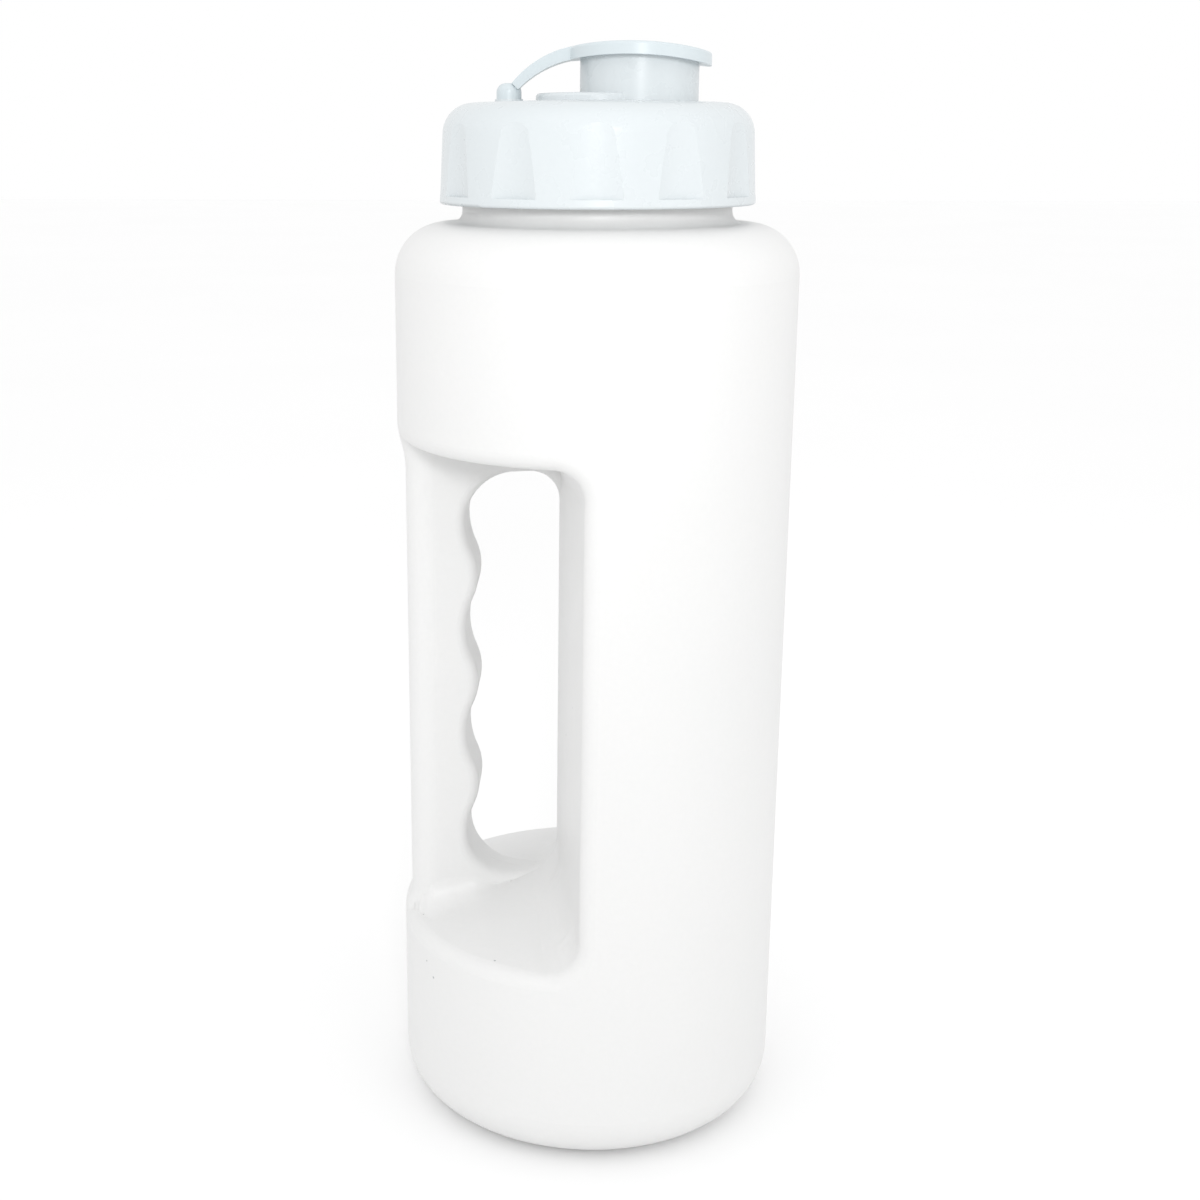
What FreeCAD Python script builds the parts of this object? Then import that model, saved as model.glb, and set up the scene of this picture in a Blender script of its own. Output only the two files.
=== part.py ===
import FreeCAD, Part
import math
import os
import Sketcher
from FreeCAD import Placement, Rotation, Vector

# A flip-top drinking bottle with a moulded-in grip: the blow-moulded bottle, its screw lid with a
# spout, and the flip cap, whose strap is held on the lid by a knob.
# Frame: millimetres, +Z up, origin at the middle of the base. The grip is towards -X, the spout
# towards +X, and the mould's parting plane is XZ.

SIZES = {
    # bottle
    "body_diameter": 89.0,
    "upper_band": 47.3,          # from the recess ceiling to the shoulder's top
    "shoulder_width": 15.0,      # from the side to the neck
    "shoulder_round": 11.0,
    "base_round": 11.5,
    "base_ring_width": 3.0,
    "base_recess": 3.5,
    "seam_width": 1.6,
    "seam_height": 0.7,
    "seam_length": 44.0,
    "neck_fillet": 2.5,
    # recess beside the grip
    "recess_floor": 46.7,        # height of the floor's outer edge
    "floor_slope": 14.5,
    "ceiling_slope": 6.0,
    "wall_draft": 8.0,
    "recess_top_corner": 6.5,
    "recess_low_corner": 8.0,
    "rim_round": 3.5,
    # grip and finger hole
    "grip_width": 13.9,
    "grip_depth": 22.8,          # from the grip's front to its back, at its outer side
    "grip_setback": 1.7,
    "grip_low_rise": 1.0,
    "grip_low_flare": 6.5,
    "grip_top_rise": 4.5,
    "grip_top_flare": 11.5,
    "grip_round": 5.5,
    "grip_inner_round": 2.5,
    "web_thickness": 6.4,        # beside the body, where the grip's panel is thinnest
    "finger_gap": 21.2,
    "finger_pitch": 25.4,
    "finger_depth": 2.8,
    "groove_radius": 17.5,
    "hole_rise": 8.2,            # from the recess floor's outer edge to the hole
    "hole_drop": 7.9,            # from the recess ceiling's outer edge to the hole
    "hole_big_round": 11.0,
    "hole_small_round": 7.0,
    # lid
    "lid_gap": 4.0,
    "lid_height": 20.9,
    "lid_wall": 3.95,
    "lid_panel": 3.4,
    "lid_bore_clearance": 1.0,
    "lid_draft": 3.0,
    "lid_corner": 6.5,
    "lid_crown": 1.2,
    "lid_edge_round": 0.6,
    "rim_band": 1.9,
    "flute_radius": 22.0,
    "flute_depth": 1.2,
    "boss_diameter": 27.0,
    "boss_height": 1.0,
    "boss_round": 0.8,
    "spout_diameter": 25.5,
    "spout_margin": 5.35,
    "spout_height": 8.5,
    "seat_height": 1.0,
    "seat_margin": 0.35,
    # flip cap
    "plate_diameter": 30.7,
    "plate_thickness": 2.65,
    "plate_edge_round": 0.6,
    "arch_radius": 95.0,
    "arch_offset": 3.75,
    "strap_width": 4.4,
    "strap_root_width": 8.0,
    "strap_end_thickness": 1.9,
    "knob_diameter": 5.4,
    "knob_margin": 4.85,
    "knob_height": 3.35,
    "knob_round": 1.9,
}
RIDGES = 3
FLUTES = 12


def size(name):
    """The expression for a named size."""
    return f"sizes.{name}"


# Lengths worked out from the named sizes, as expressions
OUTER = "(sizes.body_diameter / 2)"
BEYOND = f"({OUTER} + 5)"
NECK = f"({OUTER} - sizes.shoulder_width)"
SET_IN = f"({OUTER} - sizes.grip_setback)"
HOLE_LEFT = f"({SET_IN} - sizes.grip_width)"
HOLE_RIGHT = f"({HOLE_LEFT} - sizes.finger_gap)"
HOLE_BOTTOM = "(sizes.recess_floor + sizes.hole_rise)"
HOLE_TOP = f"({HOLE_BOTTOM} + 2 * sizes.hole_big_round + {RIDGES} * sizes.finger_pitch)"
CEILING = f"({HOLE_TOP} + sizes.hole_drop)"
SHOULDER = f"({CEILING} + sizes.upper_band)"
LID_BOTTOM = f"({SHOULDER} + sizes.lid_gap)"
LID_RIM = f"({LID_BOTTOM} + sizes.lid_height)"
LID_TOP = f"({LID_RIM} + sizes.lid_crown)"
NECK_TOP = f"({LID_RIM} - sizes.lid_panel)"
LID_BORE = f"({NECK} + sizes.lid_bore_clearance)"
LID_OUTER = f"({LID_BORE} + sizes.lid_wall)"
LID_UPPER = f"({LID_OUTER} - sizes.lid_height * tan(sizes.lid_draft))"
LID_FLAT = f"({LID_UPPER} - sizes.lid_corner)"
SPOUT_X = f"({LID_FLAT} - sizes.spout_margin - sizes.spout_diameter / 2)"
KNOB_X = f"(-{LID_FLAT} + sizes.knob_margin + sizes.knob_diameter / 2)"
SEAT_TOP = f"({LID_RIM} + sizes.seat_height)"
ARCH_X = f"({SPOUT_X} - sizes.arch_offset)"
ARCH_UNDER = f"({LID_TOP} + sizes.spout_height)"
UNDER_RADIUS = "(sizes.arch_radius - sizes.plate_thickness)"

doc = FreeCAD.newDocument("flip_top_bottle")
sheet = doc.addObject("Spreadsheet::Sheet", "sizes")
for row, (alias, number) in enumerate(SIZES.items(), start=1):
    sheet.set(f"A{row}", alias)
    sheet.set(f"B{row}", str(number))
    sheet.setAlias(f"B{row}", alias)
doc.recompute()


def value(expression):
    """Present value of an expression in the named sizes."""
    return float(sheet.evalExpression(expression.replace("sizes.", "")))


# ---- sketches


def draw(sketch, corners):
    """Closes an outline in a sketch and ties every corner to its expressions.

    A corner is (x, y), or (x, y, radius) where the run to the next corner is an arc that turns
    left. A radius written with a leading "-" turns it right."""
    spots = [Vector(value(corner[0]), value(corner[1]), 0) for corner in corners]
    first = sketch.GeometryCount
    ends = []
    for index, corner in enumerate(corners):
        here, there = spots[index], spots[(index + 1) % len(spots)]
        if len(corner) == 2:
            sketch.addGeometry(Part.LineSegment(here, there), False)
            ends.append((1, 2))
            continue
        turns_left = not corner[2].startswith("-")
        radius = value(corner[2].lstrip("-"))
        chord = there - here
        left = Vector(-chord.y, chord.x, 0).normalize()
        reach = math.sqrt(radius ** 2 - chord.Length ** 2 / 4)
        centre = (here + there) * 0.5 + left * (reach if turns_left else -reach)
        start, stop = (here, there) if turns_left else (there, here)
        angles = [math.atan2(spot.y - centre.y, spot.x - centre.x) for spot in (start, stop)]
        circle = Part.Circle(centre, Vector(0, 0, 1), radius)
        sketch.addGeometry(Part.ArcOfCircle(circle, *angles), False)
        ends.append((1, 2) if turns_left else (2, 1))
    for index, corner in enumerate(corners):
        following = (index + 1) % len(corners)
        sketch.addConstraint(Sketcher.Constraint(
            "Coincident", first + index, ends[index][1], first + following, ends[following][0]))
        for kind, expression in (("DistanceX", corner[0]), ("DistanceY", corner[1])):
            tie(sketch, Sketcher.Constraint(
                kind, -1, 1, first + index, ends[index][0], value(expression)), expression)
        if len(corner) == 3:
            radius = corner[2].lstrip("-")
            tie(sketch, Sketcher.Constraint("Radius", first + index, value(radius)), radius)


def draw_circle(sketch, x, diameter, y="0"):
    """A circle tied to its expressions."""
    middle = Vector(value(x), value(y), 0)
    radius = value(diameter) / 2
    number = sketch.addGeometry(Part.Circle(middle, Vector(0, 0, 1), radius), False)
    tie(sketch, Sketcher.Constraint("DistanceX", -1, 1, number, 3, value(x)), x)
    tie(sketch, Sketcher.Constraint("DistanceY", -1, 1, number, 3, value(y)), y)
    tie(sketch, Sketcher.Constraint("Radius", number, radius), f"({diameter}) / 2")


def tie(sketch, constraint, expression):
    """Adds a constraint whose size follows an expression."""
    number = sketch.addConstraint(constraint)
    sketch.setExpression(f"Constraints[{number}]", expression)


def upright_sketch(name, corners):
    """A loose sketch in the parting plane: its x runs along X and its y along Z."""
    sketch = doc.addObject("Sketcher::SketchObject", name)
    sketch.Placement = Placement(Vector(0, 0, 0), Rotation(Vector(1, 0, 0), 90))
    draw(sketch, corners)
    return sketch


def body_sketch(body, name, plane, height="0", shift="0"):
    """An empty sketch on one of a body's own planes, raised along the plane's normal and shifted
    along X."""
    sketch = body.newObject("Sketcher::SketchObject", name)
    origin_plane = next(item for item in body.Origin.OriginFeatures if item.Role == plane)
    sketch.AttachmentSupport = [(origin_plane, "")]
    sketch.MapMode = "FlatFace"
    sketch.setExpression(".AttachmentOffset.Base.z", height)
    sketch.setExpression(".AttachmentOffset.Base.x", shift)
    return sketch


# ---- loose solids


def revolved(name, corners, angle="360"):
    """Turns an upright outline about Z, half of the angle to each side of the parting plane."""
    turned = doc.addObject("Part::Revolution", name)
    turned.Source = upright_sketch(name + "_profile", corners)
    turned.Axis = Vector(0, 0, 1)
    turned.Solid = True
    turned.Symmetric = True
    turned.setExpression("Angle", angle)
    return turned


def combined(kind, name, *pieces):
    """Joins solids (MultiFuse) or keeps what they share (MultiCommon)."""
    result = doc.addObject("Part::" + kind, name)
    result.Shapes = list(pieces)
    result.Refine = True
    return result


def cut(name, base, tool):
    """Takes one solid out of another."""
    result = doc.addObject("Part::Cut", name)
    result.Base, result.Tool = base, tool
    result.Refine = True
    return result


def chosen_edges(source, name, test):
    """Numbers of a solid's edges that pass a test, once the solid is up to date."""
    doc.recompute()
    numbers = [n for n, edge in enumerate(source.Shape.Edges, start=1) if test(edge)]
    if not numbers:
        raise RuntimeError(f"{name}: no edge to round")
    return numbers


def rounded(name, base, radius, test):
    """Rounds the edges of a loose solid that pass a test."""
    numbers = chosen_edges(base, name, test)
    result = doc.addObject("Part::Fillet", name)
    result.Base = base
    result.Edges = [(number, value(radius), value(radius)) for number in numbers]
    return result


def body_rounded(body, name, radius, test):
    """Rounds the edges of a body's last feature that pass a test."""
    base = body.Tip
    numbers = chosen_edges(base, name, test)
    fillet = body.newObject("PartDesign::Fillet", name)
    fillet.Base = (base, [f"Edge{number}" for number in numbers])
    fillet.setExpression("Radius", radius)
    return fillet


def radii(edge):
    """Distances of points along an edge from the Z axis."""
    return [math.hypot(spot.x, spot.y) for spot in edge.discretize(7)]


def spans(box, low, high):
    """True for a box whose heights lie between two expressions."""
    return box.ZMin > value(low) - 0.01 and box.ZMax < value(high) + 0.01


# ---- bottle


def bottle_outline():
    """The bottle without its recess, turned about Z: pushed-up base, side, shoulder and neck."""
    ring_out = f"({OUTER} - sizes.base_round)"
    ring_in = f"({ring_out} - sizes.base_ring_width)"
    dome = f"({ring_in} ^ 2 + sizes.base_recess ^ 2) / (2 * sizes.base_recess)"
    return [
        ("0", "sizes.base_recess", "-" + dome),
        (ring_in, "0"),
        (ring_out, "0", "sizes.base_round"),
        (OUTER, "sizes.base_round"),
        (OUTER, f"{SHOULDER} - sizes.shoulder_round", "sizes.shoulder_round"),
        (f"{OUTER} - sizes.shoulder_round", SHOULDER),
        (f"{NECK} + sizes.neck_fillet", SHOULDER, "-sizes.neck_fillet"),
        (NECK, f"{SHOULDER} + sizes.neck_fillet"),
        (NECK, NECK_TOP),
        ("0", NECK_TOP),
    ]


def recess_space():
    """The space beside the grip, open to the front, the back and the left.

    Its floor and ceiling are cones, so their outer edges stay level round the body, and its wall
    opens out from the parting plane to the front and to the back."""
    margin = f"({BEYOND} - {OUTER})"
    band = revolved("recess_band", [
        ("0", f"sizes.recess_floor + {OUTER} * tan(sizes.floor_slope)"),
        (BEYOND, f"sizes.recess_floor - {margin} * tan(sizes.floor_slope)"),
        (BEYOND, f"{CEILING} + {margin} * tan(sizes.ceiling_slope)"),
        ("0", f"{CEILING} - {OUTER} * tan(sizes.ceiling_slope)"),
    ])
    mouth = f"({BEYOND} * tan(sizes.wall_draft) - {HOLE_RIGHT})"
    plan = doc.addObject("Part::Extrusion", "recess_plan")
    plan.Base = doc.addObject("Sketcher::SketchObject", "recess_plan_outline")
    draw(plan.Base, [
        ("-" + HOLE_RIGHT, "0"),
        (mouth, BEYOND),
        ("-" + BEYOND, BEYOND),
        ("-" + BEYOND, "-" + BEYOND),
        (mouth, "-" + BEYOND),
    ])
    plan.Dir = Vector(0, 0, 1)
    plan.Solid = True
    plan.setExpression("LengthFwd", SHOULDER)
    space = combined("MultiCommon", "recess_space", band, plan)

    def meets_wall(height):
        """Test for the edges where the wall meets the floor or the ceiling."""
        def test(edge):
            box = edge.BoundBox
            along = box.XMin > -value(HOLE_RIGHT) - 0.1 and box.XMax < value(mouth) + 0.1
            return along and box.YLength > 5 and abs(box.Center.z - value(height)) < 20
        return test

    upper = rounded("recess_upper", space, "sizes.recess_top_corner", meets_wall(CEILING))
    return rounded("recess", upper, "sizes.recess_low_corner", meets_wall("sizes.recess_floor"))


def grip_body():
    """The panel that carries the grip: it thickens from the web beside the body to the grip.

    Its outer side is set back from the body's side and flares into it at both ends. Its other
    sides end inside the body."""
    root = "(sizes.rim_round + sizes.recess_low_corner)"
    low_start = "(sizes.recess_floor - sizes.grip_low_rise)"
    low_end = f"({low_start} + sizes.grip_low_flare)"
    top_end = f"({CEILING} + sizes.grip_top_rise)"
    top_start = f"({top_end} - sizes.grip_top_flare)"
    low_bend, top_bend = [
        f"(({length}) ^ 2 + sizes.grip_setback ^ 2) / (4 * sizes.grip_setback)"
        for length in (size("grip_low_flare"), size("grip_top_flare"))]
    middle = f"({OUTER} - sizes.grip_setback / 2)"
    inner = f"({HOLE_RIGHT} / 2)"
    band = revolved("grip_band", [
        ("-" + inner, f"sizes.recess_floor - {root}"),
        ("-" + inner, f"{CEILING} + {root}"),
        ("-" + OUTER, f"{CEILING} + {root}"),
        ("-" + OUTER, top_end, top_bend),
        ("-" + middle, f"({top_end} + {top_start}) / 2", "-" + top_bend),
        ("-" + SET_IN, top_start),
        ("-" + SET_IN, low_end, "-" + low_bend),
        ("-" + middle, f"({low_end} + {low_start}) / 2", low_bend),
        ("-" + OUTER, low_start),
        ("-" + OUTER, f"sizes.recess_floor - {root}"),
    ], "90")
    plan = doc.addObject("Part::Extrusion", "grip_plan")
    plan.Base = doc.addObject("Sketcher::SketchObject", "grip_plan_outline")
    draw(plan.Base, [
        ("0", f"-{panel_half('0')}"),
        ("0", panel_half("0")),
        ("-" + BEYOND, panel_half(BEYOND)),
        ("-" + BEYOND, f"-{panel_half(BEYOND)}"),
    ])
    plan.Dir = Vector(0, 0, 1)
    plan.Solid = True
    plan.setExpression("LengthFwd", SHOULDER)
    block = combined("MultiCommon", "grip_block", band, plan)

    def outer_corner(edge):
        """Test for the grip's long outer edges, in its front and back faces."""
        return on_panel(edge) and edge.BoundBox.ZLength > 1 and min(radii(edge)) > value(SET_IN) - 0.01

    return rounded("grip_body", block, "sizes.grip_round", outer_corner)


def panel_half(reach):
    """Half the thickness of the grip's panel at a distance from the Z axis towards the grip."""
    slope = f"((sizes.grip_depth - sizes.web_thickness) / 2 / ({SET_IN} - {HOLE_RIGHT}))"
    return f"(sizes.web_thickness / 2 + (({reach}) - {HOLE_RIGHT}) * {slope})"


def on_panel(edge):
    """True for an edge that lies in the front or back face of the grip's panel."""
    near, far = value(panel_half("0")), value(panel_half(BEYOND))
    slope = (far - near) / value(BEYOND)
    return all(abs(abs(spot.y) - near + spot.x * slope) < 1e-4 for spot in edge.discretize(5))


def finger_hole():
    """The hole through the panel. Its left side waves: a groove for each finger, ridges between.

    Grooves and ridges are arcs tangent to each other. Half a pitch takes one of each, which share
    the depth of the wave, so their radii add up to a fixed length."""
    half = "(sizes.finger_pitch / 2)"
    both = f"(({half} ^ 2 + sizes.finger_depth ^ 2) / (2 * sizes.finger_depth))"
    ridge_radius = f"({both} - sizes.groove_radius)"
    swing = f"(2 * atan(sizes.finger_depth / {half}))"
    join_x = f"(sizes.groove_radius * (1 - cos({swing})) - {HOLE_LEFT})"
    join_z = f"(sizes.groove_radius * sin({swing}))"
    small, big = size("hole_small_round"), size("hole_big_round")
    top_groove = f"({HOLE_TOP} - {big})"
    outline = [
        (f"{big} - {HOLE_LEFT}", HOLE_BOTTOM),
        (f"-{HOLE_RIGHT} - {small}", HOLE_BOTTOM, small),
        ("-" + HOLE_RIGHT, f"{HOLE_BOTTOM} + {small}"),
        ("-" + HOLE_RIGHT, f"{HOLE_TOP} - {small}", small),
        (f"-{HOLE_RIGHT} - {small}", HOLE_TOP),
        (f"{big} - {HOLE_LEFT}", HOLE_TOP, big),
        ("-" + HOLE_LEFT, top_groove, "sizes.groove_radius"),
    ]
    for ridge in range(RIDGES):
        above = f"{top_groove} - {ridge} * sizes.finger_pitch"
        outline.append((join_x, f"{above} - {join_z}", "-" + ridge_radius))
        outline.append((join_x, f"{above} - sizes.finger_pitch + {join_z}", "sizes.groove_radius"))
    outline.append(("-" + HOLE_LEFT, f"{HOLE_BOTTOM} + {big}", big))
    hole = doc.addObject("Part::Extrusion", "finger_hole")
    hole.Base = upright_sketch("finger_hole_outline", outline)
    hole.Dir = Vector(0, 1, 0)
    hole.Solid = True
    hole.Symmetric = True
    hole.setExpression("LengthFwd", "sizes.body_diameter")
    return hole


def grip_panel():
    """The grip's panel with the finger hole, whose edges are rounded on both faces."""
    pierced = cut("pierced", grip_body(), finger_hole())

    def round_hole(edge):
        """Test for the hole's edges in the panel's front and back faces."""
        box = edge.BoundBox
        return on_panel(edge) and box.XMin > -value(HOLE_LEFT) - 0.01 and spans(
            box, HOLE_BOTTOM, HOLE_TOP)

    return rounded("grip_panel", pierced, "sizes.grip_inner_round", round_hole)


def base_seam():
    """The ridge across the base where the mould pinched the tube shut, within the recess."""
    ring = f"({OUTER} - sizes.base_round - sizes.base_ring_width)"
    low = "(sizes.base_recess - sizes.seam_height)"
    dome = f"({ring} ^ 2 + {low} ^ 2) / (2 * {low})"
    lens = revolved("seam_lens", [
        ("0", low, "-" + dome),
        (ring, "0"),
        (ring, "sizes.base_recess"),
        ("0", "sizes.base_recess"),
    ])
    strip = doc.addObject("Part::Box", "seam_strip")
    strip.setExpression("Length", "sizes.seam_length")
    strip.setExpression("Width", "sizes.seam_width")
    strip.setExpression("Height", "sizes.base_recess")
    strip.setExpression(".Placement.Base.x", "-sizes.seam_length / 2")
    strip.setExpression(".Placement.Base.y", "-sizes.seam_width / 2")
    return combined("MultiCommon", "seam", lens, strip)


def make_bottle():
    """Blow-moulded bottle: body with its recess, the grip's panel and the seam under the base."""
    recessed = cut("recessed", revolved("outer_form", bottle_outline()), recess_space())

    def on_rim(edge):
        """Test for the edges where the recess breaks through the body's side."""
        beside = spans(edge.BoundBox, "sizes.recess_floor", CEILING) and edge.BoundBox.XMin < 0
        return beside and all(abs(r - value(OUTER)) < 0.01 for r in radii(edge))

    rim = rounded("rim", recessed, "sizes.rim_round", on_rim)
    return combined("MultiFuse", "bottle", rim, grip_panel(), base_seam())


# ---- lid


def whole_turn(body, name, corners, shift="0"):
    """A feature turned all the way round an upright axis in the parting plane, at x = shift."""
    sketch = body_sketch(body, name + "_profile", "XZ_Plane", shift=shift)
    draw(sketch, corners)
    feature = body.newObject("PartDesign::Revolution", name)
    feature.Profile = sketch
    feature.ReferenceAxis = (sketch, ["V_Axis"])
    feature.Angle = 360
    return feature


def pad(body, name, sketch, length):
    """Pads a sketch along its normal."""
    feature = body.newObject("PartDesign::Pad", name)
    feature.Profile = sketch
    feature.setExpression("Length", length)
    return feature


def lid_outline():
    """The lid without its flutes: skirt, panel, crowned top and the round boss in its middle."""
    boss = "(sizes.boss_diameter / 2)"
    return [
        (LID_BORE, LID_BOTTOM),
        (LID_OUTER, LID_BOTTOM),
        (LID_UPPER, LID_RIM),
        (boss, f"{LID_TOP} - sizes.lid_crown * {boss} / {LID_UPPER}"),
        (boss, f"{LID_TOP} + sizes.boss_height"),
        ("0", f"{LID_TOP} + sizes.boss_height"),
        ("0", NECK_TOP),
        (LID_BORE, NECK_TOP),
    ]


def under_arch(x):
    """Height of the flip cap's arched underside at x."""
    return f"({ARCH_UNDER} - {UNDER_RADIUS} + sqrt({UNDER_RADIUS} ^ 2 - (({x}) - {ARCH_X}) ^ 2))"


def over_arch(x):
    """Height of the flip cap's arched top at x."""
    return (f"({ARCH_UNDER} - {UNDER_RADIUS} + sqrt(sizes.arch_radius ^ 2"
            f" - (({x}) - {ARCH_X}) ^ 2))")


def make_lid():
    """Screw lid: fluted skirt, crowned top with a boss, the spout and the seat for the knob."""
    lid = doc.addObject("PartDesign::Body", "lid")
    whole_turn(lid, "shell", lid_outline())

    def circle_at(radius, height):
        """Test for the circle of a radius at a height about the Z axis."""
        def test(edge):
            box = edge.BoundBox
            level = abs(box.ZMin - value(height)) < 0.01 and box.ZLength < 0.01
            return level and all(abs(r - value(radius)) < 0.01 for r in radii(edge))
        return test

    body_rounded(lid, "shoulder", "sizes.lid_corner", circle_at(LID_UPPER, LID_RIM))
    body_rounded(lid, "lower_edge", "sizes.lid_edge_round", circle_at(LID_OUTER, LID_BOTTOM))
    body_rounded(lid, "boss_edge", "sizes.boss_round",
                 circle_at("sizes.boss_diameter / 2", f"{LID_TOP} + sizes.boss_height"))

    scoop = body_sketch(lid, "flute_outline", "XY_Plane", f"{LID_BOTTOM} + sizes.rim_band")
    draw_circle(scoop, "0", "2 * sizes.flute_radius",
                f"-{LID_OUTER} + sizes.flute_depth - sizes.flute_radius")
    flute = lid.newObject("PartDesign::Pocket", "flute")
    flute.Profile = scoop
    flute.Reversed = True
    flute.setExpression("Length", "sizes.lid_height")
    flutes = lid.newObject("PartDesign::PolarPattern", "flutes")
    flutes.Originals = [flute]
    flutes.Axis = (scoop, ["N_Axis"])
    flutes.Angle = 360
    flutes.Occurrences = FLUTES
    lid.Tip = flutes

    low = f"{LID_RIM} - sizes.lid_panel / 2"
    spout = body_sketch(lid, "spout_outline", "XY_Plane", low)
    draw_circle(spout, SPOUT_X, "sizes.spout_diameter")
    pad(lid, "spout", spout, "sizes.spout_height + sizes.lid_panel + sizes.lid_crown")
    left = f"({SPOUT_X} - sizes.spout_diameter / 2 - 1)"
    right = f"({SPOUT_X} + sizes.spout_diameter / 2 + 1)"
    trim = body_sketch(lid, "spout_trim", "XZ_Plane")
    draw(trim, [
        (right, under_arch(right)),
        (right, f"{ARCH_UNDER} + sizes.plate_diameter"),
        (left, f"{ARCH_UNDER} + sizes.plate_diameter"),
        (left, under_arch(left), "-" + UNDER_RADIUS),
    ])
    arched = lid.newObject("PartDesign::Pocket", "spout_rim")
    arched.Profile = trim
    arched.Midplane = True
    arched.setExpression("Length", "2 * sizes.spout_diameter")

    seat = body_sketch(lid, "seat_outline", "XY_Plane", low)
    draw_circle(seat, KNOB_X, "sizes.knob_diameter + 2 * sizes.seat_margin")
    pad(lid, "seat", seat, f"{SEAT_TOP} - ({low})")
    return lid


# ---- flip cap


def cap_side():
    """Side view of the flip cap: the arched plate and the strap that curves down to the knob.

    Each strap arc starts along the plate's arc and ends at the knob, which fixes its radius."""
    tip = f"({SPOUT_X} + sizes.plate_diameter / 2)"
    bend = f"({SPOUT_X} - sizes.spout_diameter / 2)"
    knob_top = f"({SEAT_TOP} + sizes.knob_height)"
    end_x = f"({KNOB_X} + sizes.knob_diameter / 8)"
    under_x = f"({KNOB_X} + sizes.knob_diameter * 3 / 8)"
    centre_z = f"({ARCH_UNDER} - {UNDER_RADIUS})"

    def strap_radius(start_z, stop_x, stop_z):
        """Radius of the arc tangent to the plate at the bend that ends at a point."""
        run, fall = f"(({stop_x}) - {bend})", f"(({stop_z}) - {start_z})"
        lean_x, lean_z = f"({ARCH_X} - {bend})", f"({centre_z} - {start_z})"
        lean = f"sqrt({lean_x} ^ 2 + {lean_z} ^ 2)"
        return f"({lean} * ({run} ^ 2 + {fall} ^ 2) / (2 * ({run} * {lean_x} + {fall} * {lean_z})))"

    top_z, low_z = over_arch(bend), under_arch(bend)
    end_z = f"({knob_top} - 0.05)"
    under_z = f"({end_z} - sizes.strap_end_thickness * 0.7)"
    return [
        (tip, over_arch(tip), "sizes.arch_radius"),
        (bend, top_z, strap_radius(top_z, end_x, end_z)),
        (end_x, end_z),
        (under_x, under_z, "-" + strap_radius(low_z, under_x, under_z)),
        (bend, low_z, "-" + UNDER_RADIUS),
        (tip, under_arch(tip)),
    ]


def make_flip_cap():
    """Flip cap in one moulding: knob, strap and the arched plate that shuts the spout."""
    cap = doc.addObject("PartDesign::Body", "flip_cap")
    side = body_sketch(cap, "side", "XZ_Plane")
    draw(side, cap_side())
    slab = pad(cap, "slab", side, "sizes.plate_diameter + 2")
    slab.Midplane = True

    plan = body_sketch(cap, "plan", "XY_Plane", LID_RIM)
    disc = "(sizes.plate_diameter / 2)"
    root = "(sizes.strap_root_width / 2)"
    end = "(sizes.strap_width / 2)"
    meet = f"({SPOUT_X} - sqrt({disc} ^ 2 - {root} ^ 2))"
    ahead = f"({SPOUT_X} + sizes.plate_diameter)"
    behind = f"({KNOB_X} - sizes.plate_diameter)"
    draw(plan, [
        (behind, "-sizes.plate_diameter"),
        (ahead, "-sizes.plate_diameter"),
        (ahead, "sizes.plate_diameter"),
        (behind, "sizes.plate_diameter"),
    ])
    draw(plan, [
        (meet, "-" + root, disc),
        (f"{SPOUT_X} + {disc}", "0", disc),
        (meet, root),
        (KNOB_X, end),
        (KNOB_X, "-" + end),
    ])
    outline = cap.newObject("PartDesign::Pocket", "outline")
    outline.Profile = plan
    outline.Reversed = True
    outline.setExpression("Length", "sizes.plate_diameter")

    def upper_edge(edge):
        """Test for the upper edge round the plate."""
        box = edge.BoundBox
        around = box.XMin > value(meet) - 0.01 and box.XLength > 1
        return around and box.ZMax > value(ARCH_UNDER) + 0.1

    body_rounded(cap, "plate_edge", "sizes.plate_edge_round", upper_edge)

    radius = "(sizes.knob_diameter / 2)"
    top = f"({SEAT_TOP} + sizes.knob_height)"
    whole_turn(cap, "knob", [
        ("0", SEAT_TOP),
        (radius, SEAT_TOP),
        (radius, f"{top} - sizes.knob_round", "sizes.knob_round"),
        (f"{radius} - sizes.knob_round", top),
        ("0", top),
    ], KNOB_X)
    return cap


# ---- build, check and write


def check_and_write(parts):
    """Stops on a failed object or a bad shape, then writes a STEP file for each part."""
    doc.recompute()
    for item in doc.Objects:
        if {"Invalid", "Error"} & set(item.State):
            raise RuntimeError(f"{item.Label}: {item.State}")
    for part in parts:
        if part.Shape.isNull() or not part.Shape.isValid() or len(part.Shape.Solids) != 1:
            raise RuntimeError(f"{part.Label}: not one valid solid")
    os.makedirs("parts", exist_ok=True)
    for part in parts:
        part.Shape.exportStep(f"parts/{part.Label}.step")
        print(part.Label, round(part.Shape.Volume), "mm3", part.Shape.optimalBoundingBox())


check_and_write([make_bottle(), make_lid(), make_flip_cap()])
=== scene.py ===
"""Flip-top plastic bottle: its finishes, the soft foot of its recess, the floor, lights and camera.

Lengths are in metres, in the frame of the CAD model: +Z up along the bottle, -Y towards the viewer.
"""
import math

import bmesh
import bpy
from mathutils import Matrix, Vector
from mathutils.bvhtree import BVHTree


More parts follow.
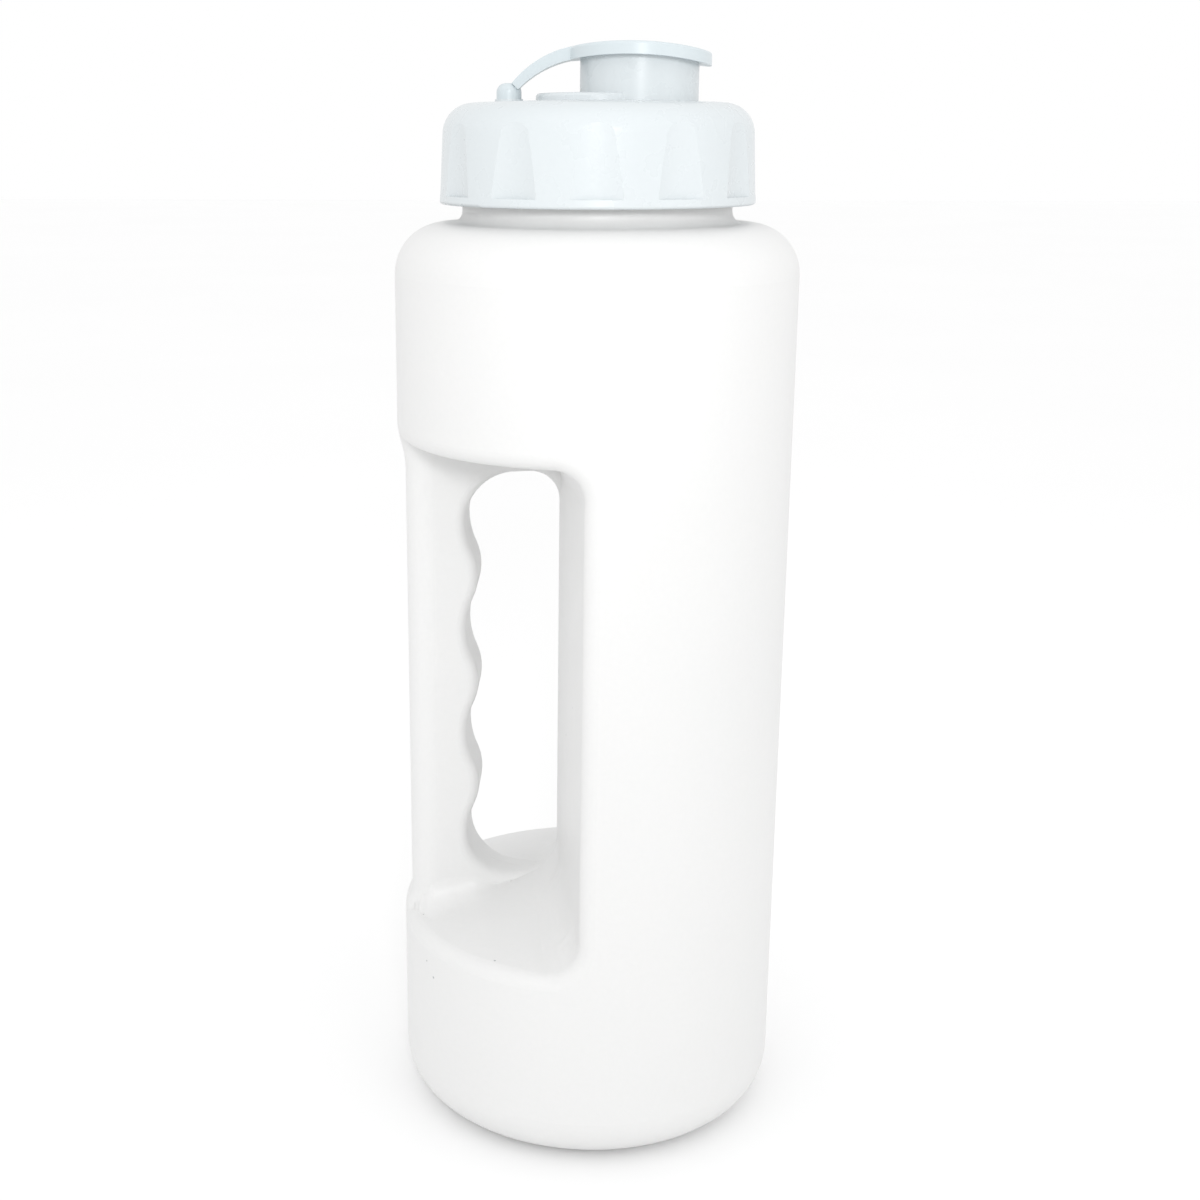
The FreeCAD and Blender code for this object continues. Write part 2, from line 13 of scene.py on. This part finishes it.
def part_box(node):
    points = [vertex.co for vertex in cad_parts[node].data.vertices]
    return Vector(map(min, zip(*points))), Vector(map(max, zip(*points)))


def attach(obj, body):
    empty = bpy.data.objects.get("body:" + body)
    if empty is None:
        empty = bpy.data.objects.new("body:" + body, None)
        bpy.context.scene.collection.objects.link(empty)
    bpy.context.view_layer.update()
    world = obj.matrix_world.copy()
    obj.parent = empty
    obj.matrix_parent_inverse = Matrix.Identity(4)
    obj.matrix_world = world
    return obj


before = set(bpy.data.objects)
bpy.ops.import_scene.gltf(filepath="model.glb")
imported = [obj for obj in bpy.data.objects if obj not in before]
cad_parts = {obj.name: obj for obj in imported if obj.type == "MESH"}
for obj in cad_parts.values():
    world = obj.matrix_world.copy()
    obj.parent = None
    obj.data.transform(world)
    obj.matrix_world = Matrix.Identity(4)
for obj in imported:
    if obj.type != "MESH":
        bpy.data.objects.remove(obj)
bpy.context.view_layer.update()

MM = 0.001
UP = Vector((0, 0, 1))

# The camera stands in front of the bottle at the height of the lid, and looks down and a little to the left. The
# picture is shifted sideways so that the bottle stands in its middle.
CAMERA_PLACE = Vector((0, -378.9, 226.4)) * MM
CAMERA_YAW = math.radians(2.9)
CAMERA_PITCH = math.radians(15.4)
IMAGE_WIDTH = 1200
FOCAL_PIXELS = 1682
SENSOR_WIDTH = 36
SIDE_SHIFT = 0.0754
NEAREST_SEEN = 10 * MM

# For each node: the name of its plastic, the two close colours of its clouding, its roughness, and how high its
# mould grain and its slow waves stand.
PLASTICS = {
    "bottle": ("bottle_plastic", (0.755, 0.755, 0.752), (0.742, 0.743, 0.739), 0.42, 0.012 * MM, 0.12 * MM),
    "lid": ("lid_plastic", (0.64, 0.680, 0.697), (0.63, 0.670, 0.687), 0.28, 0.004 * MM, 0.04 * MM),
    "flip_cap": ("cap_plastic", (0.60, 0.66, 0.685), (0.59, 0.65, 0.675), 0.3, 0.004 * MM, 0.04 * MM),
}
PLASTIC_IOR = 1.5
# How much the roughness varies, as a share of itself.
ROUGHNESS_SPREAD = 0.08
# About how many features of each kind of noise lie along a metre.
CLOUD_SCALE = 22
FLECK_SCALE = 900
GLOSS_SCALE = 160
GRAIN_SCALE = 1800
WAVE_SCALE = 35
SPECK_SCALE = 2500
FLOOR_SCALE = 3
# The values between which most of a noise lies, and most of the sum of two.
NOISE_RANGE = (0.3, 0.7)
SUM_RANGE = (0.7, 1.3)

# The colour sockets of a Mix node, which has a set of sockets for each type of value.
MIX_FIRST = 6
MIX_SECOND = 7
MIX_RESULT = 2

PARTING_HALF_WIDTH = 0.35 * MM
PARTING_HEIGHT = 0.08 * MM

# Tiny dark specks in the bottle's plastic: the way each lies from the axis in degrees, its height and its radius.
SPECKS = (
    (-161, 47.5 * MM, 0.28 * MM),
    (-147, 41 * MM, 0.30 * MM),
    (-143, 38 * MM, 0.34 * MM),
    (-120, 47.5 * MM, 0.26 * MM),
    (-108.5, 94.5 * MM, 0.30 * MM),
    (-98, 105 * MM, 0.22 * MM),
)
SPECK_COLOUR = (0.42, 0.43, 0.44)
# The share of a speck's radius that is fully dark, and by what share of it the edge wanders.
SPECK_CORE = 0.6
SPECK_WANDER = 0.5

# The soft blends at the foot of the grip and of the wall behind the fingers. The sections of a blend stand at
# stations along x on the grip's face and along y on the wall. Where it is widest it climbs the face and reaches
# over the floor this far, and over the length of a ramp or two it narrows to this share of it.
STATION_COUNT = 56
SECTION_COUNT = 14
RAMP = 5 * MM
GRIP_STATIONS = (-41.7 * MM, -18.5 * MM)
GRIP_CLIMB = 6.5 * MM
GRIP_REACH = 7.5 * MM
GRIP_NARROWEST = 0.1
WALL_STATIONS = (6.5 * MM, 41 * MM)
WALL_CLIMB = 5 * MM
WALL_REACH = 6 * MM
WALL_NARROWEST = 0.08
# The grip's face is followed along x to its end, where the rounding of its hole begins, and carried straight on
# from there. The blend starts no higher than the face's top. It climbs less and less over two ramps up to where
# the hole comes down to the floor, and from there no further than the hole's lip.
GRIP_FACE_END = -26.5 * MM
GRIP_FACE_TOP = 55.5 * MM
GRIP_HOLE_START = -21 * MM
LIP_CLIMB = 0.5 * MM
# The heights at which the grip's face and the wall are looked for, both above the floor of the recess.
GRIP_HEIGHT = 54 * MM
WALL_HEIGHT = 66 * MM
# How deep a blend lies in the bottle: along its edges, at the outer end of the grip's, and at its root.
SINK = 0.04 * MM
END_SINK = 1.8 * MM
ROOT_DEPTH = 0.6 * MM
# How far from the face the line starts that looks for the floor at its foot.
CLEARANCE = 0.08 * MM
# Two lines that cross at less than this sine are as good as parallel.
NEARLY_PARALLEL = 0.05

FLOOR_SIZE = 12
FLOOR_COLOURS = ((0.95, 0.95, 0.95), (0.94, 0.94, 0.94))
FLOOR_ROUGHNESS = 0.9

# For each lamp: its place, the share of the bottle's height that it points at, its size, its power in watts, and
# how wide its beam is in degrees.
LAMPS = {
    "key": ((0.03, -0.58, 0.36), 0.9, 0.10, 0.16, 70),
    "fill_left": ((-0.80, -0.75, 0.10), 0.5, 0.6, 0.3, 180),
    "fill_right": ((0.95, -0.50, 0.10), 0.5, 0.6, 0.6, 180),
}
SURROUNDINGS = (1, 1, 1, 1)
SURROUNDINGS_STRENGTH = 1.0
# The sky is a sun so wide that its shadows are soft, and it leans to the front.
SKY_STRENGTH = 0.16
SKY_WIDTH = math.radians(60)
SKY_TILT = math.radians(30)

bottle_low, bottle_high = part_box("bottle")
bottle_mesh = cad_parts["bottle"].data
bottle_skin = BVHTree.FromPolygons([corner.co for corner in bottle_mesh.vertices],
                                   [face.vertices for face in bottle_mesh.polygons])


def between(first, second, share):
    """The value that lies this share of the way from first to second."""
    return first + (second - first) * share


def eased(amount):
    """0 to 1 with a level start and end."""
    amount = min(max(amount, 0), 1)
    return amount * amount * (3 - 2 * amount)


def put_in_scene(name, data):
    """A new object of this name and data."""
    made = bpy.data.objects.new(name, data)
    bpy.context.scene.collection.objects.link(made)
    return made


# ---- camera


def make_camera():
    """The camera, at the angle of the photograph."""
    data = bpy.data.cameras.new("camera")
    camera = put_in_scene("camera", data)
    data.sensor_width = SENSOR_WIDTH
    data.lens = FOCAL_PIXELS / IMAGE_WIDTH * SENSOR_WIDTH
    data.shift_x = SIDE_SHIFT
    data.clip_start = NEAREST_SEEN
    camera.location = CAMERA_PLACE
    camera.rotation_euler = (math.pi / 2 - CAMERA_PITCH, 0, CAMERA_YAW)
    bpy.context.scene.camera = camera


# ---- materials


class Nodes:
    """Short names for adding and joining the nodes of one material."""

    def __init__(self, name):
        self.material = bpy.data.materials.new(name)
        self.material.use_nodes = True
        self.tree = self.material.node_tree
        self.shader = self.tree.nodes["Principled BSDF"]
        # The object's own space, in metres.
        self.place = self.add("ShaderNodeTexCoord").outputs["Object"]

    def add(self, kind, **settings):
        """A node of this kind. A setting is a property of the node or, with _ for a space, one of its inputs."""
        node = self.tree.nodes.new(kind)
        for key, setting in settings.items():
            if hasattr(node, key):
                setattr(node, key, setting)
            else:
                node.inputs[key.replace("_", " ")].default_value = setting
        return node

    def join(self, source, target):
        """A link from an output to an input."""
        self.tree.links.new(source, target)

    def noise(self, scale, detail):
        """Noise over the object's own space, in which a scale of 1 is a feature of about a metre."""
        noise = self.add("ShaderNodeTexNoise", Scale=scale, Detail=detail)
        self.join(self.place, noise.inputs["Vector"])
        return noise.outputs["Fac"]

    def add_up(self, first, second):
        """The sum of two values."""
        total = self.add("ShaderNodeMath", operation="ADD")
        self.join(first, total.inputs[0])
        self.join(second, total.inputs[1])
        return total.outputs["Value"]

    def raise_by(self, height, distance):
        """Raises the surface by distance where height is 1, over the bumps already there."""
        bump = self.add("ShaderNodeBump", Distance=distance)
        self.join(height, bump.inputs["Height"])
        normal = self.shader.inputs["Normal"]
        if normal.is_linked:
            self.join(normal.links[0].from_socket, bump.inputs["Normal"])
        self.join(bump.outputs["Normal"], normal)

    def spread(self, source, low, high, to_low, to_high):
        """source's range low..high turned into to_low..to_high."""
        span = self.add("ShaderNodeMapRange", From_Min=low, From_Max=high, To_Min=to_low, To_Max=to_high)
        self.join(source, span.inputs["Value"])
        return span.outputs["Result"]

    def colours(self, source, first, second):
        """A blend by source, from 0 to 1, of first, a colour or an output, and the colour second."""
        mix = self.add("ShaderNodeMix", data_type="RGBA")
        self.join(source, mix.inputs["Factor"])
        if isinstance(first, tuple):
            mix.inputs[MIX_FIRST].default_value = (*first, 1)
        else:
            self.join(first, mix.inputs[MIX_FIRST])
        mix.inputs[MIX_SECOND].default_value = (*second, 1)
        return mix.outputs[MIX_RESULT]


def moulded_plastic(name, light, deep, roughness, grain, wave):
    """Opaque white plastic: faint clouding in its colour and gloss, a fine mould grain and slow waves."""
    nodes = Nodes(name)
    cloud = nodes.add_up(nodes.noise(CLOUD_SCALE, detail=3), nodes.noise(FLECK_SCALE, detail=2))
    shade = nodes.spread(cloud, *SUM_RANGE, 0, 1)
    nodes.join(nodes.colours(shade, light, deep), nodes.shader.inputs["Base Color"])
    gloss = nodes.spread(nodes.noise(GLOSS_SCALE, detail=4), *NOISE_RANGE,
                         roughness * (1 - ROUGHNESS_SPREAD), roughness * (1 + ROUGHNESS_SPREAD))
    nodes.join(gloss, nodes.shader.inputs["Roughness"])
    nodes.raise_by(nodes.noise(GRAIN_SCALE, detail=3), grain)
    nodes.raise_by(nodes.noise(WAVE_SCALE, detail=1), wave)
    nodes.shader.inputs["IOR"].default_value = PLASTIC_IOR
    return nodes


def add_parting_line(nodes):
    """The faint raised line that the two halves of the mould leave, all round the bottle at y = 0."""
    parts = nodes.add("ShaderNodeSeparateXYZ")
    nodes.join(nodes.place, parts.inputs["Vector"])
    off = nodes.add("ShaderNodeMath", operation="ABSOLUTE")
    nodes.join(parts.outputs["Y"], off.inputs[0])
    nodes.raise_by(nodes.spread(off.outputs["Value"], 0, PARTING_HALF_WIDTH, 1, 0), PARTING_HEIGHT)


def add_specks(nodes):
    """Small dark specks of dust moulded into the surface."""
    base = nodes.shader.inputs["Base Color"]
    for turn, height, radius in SPECKS:
        inwards = Vector((-math.cos(math.radians(turn)), -math.sin(math.radians(turn)), 0))
        outside = UP * height - inwards * bottle_high.length
        away = nodes.add("ShaderNodeVectorMath", operation="DISTANCE")
        nodes.join(nodes.place, away.inputs[0])
        away.inputs[1].default_value = bottle_skin.ray_cast(outside, inwards)[0]
        wander = radius * SPECK_WANDER
        wobble = nodes.spread(nodes.noise(SPECK_SCALE, detail=1), *NOISE_RANGE, -wander, wander)
        edge = nodes.spread(nodes.add_up(away.outputs["Value"], wobble), radius * SPECK_CORE, radius, 1, 0)
        nodes.join(nodes.colours(edge, base.links[0].from_socket, SPECK_COLOUR), base)


def finish_nodes():
    """Each CAD node gets its own plastic, and the bottle's is returned."""
    finishes = {name: moulded_plastic(*plastic) for name, plastic in PLASTICS.items()}
    add_parting_line(finishes["bottle"])
    add_specks(finishes["bottle"])
    for name, nodes in finishes.items():
        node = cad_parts[name]
        node.data.materials.clear()
        node.data.materials.append(nodes.material)
    return finishes["bottle"].material


# ---- the soft foot of the recess


def meeting(first, first_way, second, second_way):
    """Where two lines of a section cross, as (distance out, height)."""
    turn = first_way[0] * second_way[1] - first_way[1] * second_way[0]
    if abs(turn) < NEARLY_PARALLEL:
        return tuple((a + b) / 2 for a, b in zip(first, second))
    gap = (second[0] - first[0], second[1] - first[1])
    along = (gap[0] * second_way[1] - gap[1] * second_way[0]) / turn
    return (first[0] + along * first_way[0], first[1] + along * first_way[1])


def section(foot, heading, climb, reach, top=math.inf, sunk=0):
    """A concave curve from an upright face down to the floor, tangent to both, and the root behind it.

    foot is a point of the face seen from above, and heading is the level way out from it. The curve starts no
    higher than top, and the whole section is moved back by sunk and down by half of it.
    """
    def struck(place, way):
        """Where a ray meets the bottle, as (distance out, height), and the way of the surface there."""
        place, normal = bottle_skin.ray_cast(place, way)[:2]
        out = (place - foot).dot(heading)
        return (out, place.z), (-normal.z, normal.dot(heading))

    above = foot.copy()
    above.z = WALL_HEIGHT
    floor = bottle_skin.ray_cast(above + heading * CLEARANCE, -UP)[0].z
    low, low_way = struck(above + heading * reach, -UP)
    side = foot.copy()
    side.z = min(floor + climb, top)
    high, high_way = struck(side + heading * (2 * reach), -heading)
    corner = [min(max(value, least), most) for value, least, most in
              zip(meeting(high, high_way, low, low_way), (high[0], low[1]), (low[0], high[1]))]
    curve = []
    for step in range(SECTION_COUNT + 1):
        share = step / SECTION_COUNT
        weights = ((1 - share) ** 2, 2 * share * (1 - share), share ** 2)
        curve.append([sum(weight * point[axis] for weight, point in zip(weights, (high, corner, low)))
                      for axis in (0, 1)])
    curve[0][0] -= SINK
    curve[-1][1] -= SINK
    curve.append([corner[0] - ROOT_DEPTH, corner[1] - ROOT_DEPTH])
    level = Vector((foot.x, foot.y, 0)) - (heading + UP / 2) * sunk
    return [level + heading * out + UP * height for out, height in curve]


def grip_sections(side):
    """Sections along the grip's face, on the side of y that side names."""
    first, last = GRIP_STATIONS

    def face(x):
        """The point of the grip's face at x."""
        start = Vector((x, side * 2 * GRIP_REACH, GRIP_HEIGHT))
        return bottle_skin.ray_cast(start, Vector((0, -side, 0)))[0]

    heading = Vector((0, side, 0))
    bar_end, near_end = face(GRIP_FACE_END), face(GRIP_FACE_END - RAMP)
    made = []
    for step in range(STATION_COUNT + 1):
        x = between(first, last, step / STATION_COUNT)
        foot = face(x) if x < GRIP_FACE_END else bar_end.lerp(near_end, (GRIP_FACE_END - x) / RAMP)
        start, tail = eased((x - first) / RAMP), eased((last - x) / RAMP)
        climb = between(LIP_CLIMB, GRIP_CLIMB, eased((GRIP_HOLE_START - x) / (2 * RAMP)))
        reach = GRIP_REACH * between(GRIP_NARROWEST, 1, tail)
        made.append(section(foot, heading, climb, reach, GRIP_FACE_TOP, END_SINK * (1 - start)))
    return made


def wall_sections(side):
    """Sections along the inner wall, on the side of y that side names."""
    first, last = WALL_STATIONS
    made = []
    for step in range(STATION_COUNT + 1):
        y = between(first, last, step / STATION_COUNT)
        start = Vector((-(GRIP_REACH + WALL_REACH), side * y, WALL_HEIGHT))
        foot, normal = bottle_skin.ray_cast(start, Vector((1, 0, 0)))[:2]
        heading = Vector((normal.x, normal.y, 0)).normalized()
        width = between(WALL_NARROWEST, 1, min(eased((y - first) / RAMP), eased((last - y) / (2 * RAMP))))
        made.append(section(foot, heading, WALL_CLIMB * width, WALL_REACH * width))
    return made


def strip(name, sections):
    """A closed strip through the sections, smooth across its curve and sharp along its edges."""
    count = len(sections[0])
    rows = len(sections) - 1
    corners = [point for ring in sections for point in ring]
    faces = []
    for row in range(rows):
        for column in range(count):
            beside = (column + 1) % count
            faces.append((row * count + column, row * count + beside,
                          (row + 1) * count + beside, (row + 1) * count + column))
    faces.append(tuple(range(count - 1, -1, -1)))
    faces.append(tuple(range(rows * count, (rows + 1) * count)))
    mesh = bpy.data.meshes.new(name)
    mesh.from_pydata(corners, [], faces)
    shaped = bmesh.new()
    shaped.from_mesh(mesh)
    bmesh.ops.recalc_face_normals(shaped, faces=shaped.faces)
    edges_of_curve = (0, count - 2, count - 1)
    for face in shaped.faces:
        face.smooth = True
    for edge in shaped.edges:
        ends = [corner.index % count for corner in edge.verts]
        edge.smooth = not (ends[0] == ends[1] and ends[0] in edges_of_curve)
    shaped.to_mesh(mesh)
    shaped.free()
    piece = put_in_scene(name, mesh)
    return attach(piece, "root")


def make_foot_blends(material):
    """The soft feet of the grip and of the wall behind the fingers, in front and behind."""
    for name, side in (("front", -1), ("back", 1)):
        for piece in (strip(f"grip_foot_{name}", grip_sections(side)),
                      strip(f"wall_foot_{name}", wall_sections(side))):
            piece.data.materials.append(material)


# ---- surroundings


def make_floor():
    """A wide pale floor."""
    bpy.ops.mesh.primitive_plane_add(size=FLOOR_SIZE, location=(0, 0, bottle_low.z))
    floor = bpy.context.object
    floor.name = "floor"
    nodes = Nodes("floor_paint")
    mottle = nodes.spread(nodes.noise(FLOOR_SCALE, detail=4), *NOISE_RANGE, 0, 1)
    nodes.join(nodes.colours(mottle, *FLOOR_COLOURS), nodes.shader.inputs["Base Color"])
    nodes.shader.inputs["Roughness"].default_value = FLOOR_ROUGHNESS
    floor.data.materials.append(nodes.material)


def soft_box(name, place, aim_share, size, power, beam):
    """A square lamp at place, turned towards the bottle's axis at a share of its height."""
    data = bpy.data.lights.new(name, "AREA")
    data.size = size
    data.energy = power
    data.spread = math.radians(beam)
    lamp = put_in_scene(name, data)
    lamp.location = place
    aim = UP * (bottle_high.z * aim_share)
    lamp.rotation_euler = (aim - Vector(place)).to_track_quat("-Z", "Y").to_euler()


def make_lights():
    """White surroundings, a key lamp in front and above, a broad fill from each side, and a soft sky."""
    world = bpy.data.worlds.new("studio")
    bpy.context.scene.world = world
    world.use_nodes = True
    background = world.node_tree.nodes["Background"]
    background.inputs["Color"].default_value = SURROUNDINGS
    background.inputs["Strength"].default_value = SURROUNDINGS_STRENGTH
    for name, lamp in LAMPS.items():
        soft_box(name, *lamp)
    data = bpy.data.lights.new("sky", "SUN")
    data.energy = SKY_STRENGTH
    data.angle = SKY_WIDTH
    put_in_scene("sky", data).rotation_euler = (SKY_TILT, 0, 0)


make_camera()
make_foot_blends(finish_nodes())
make_floor()
make_lights()
bpy.context.scene.view_settings.view_transform = "Standard"
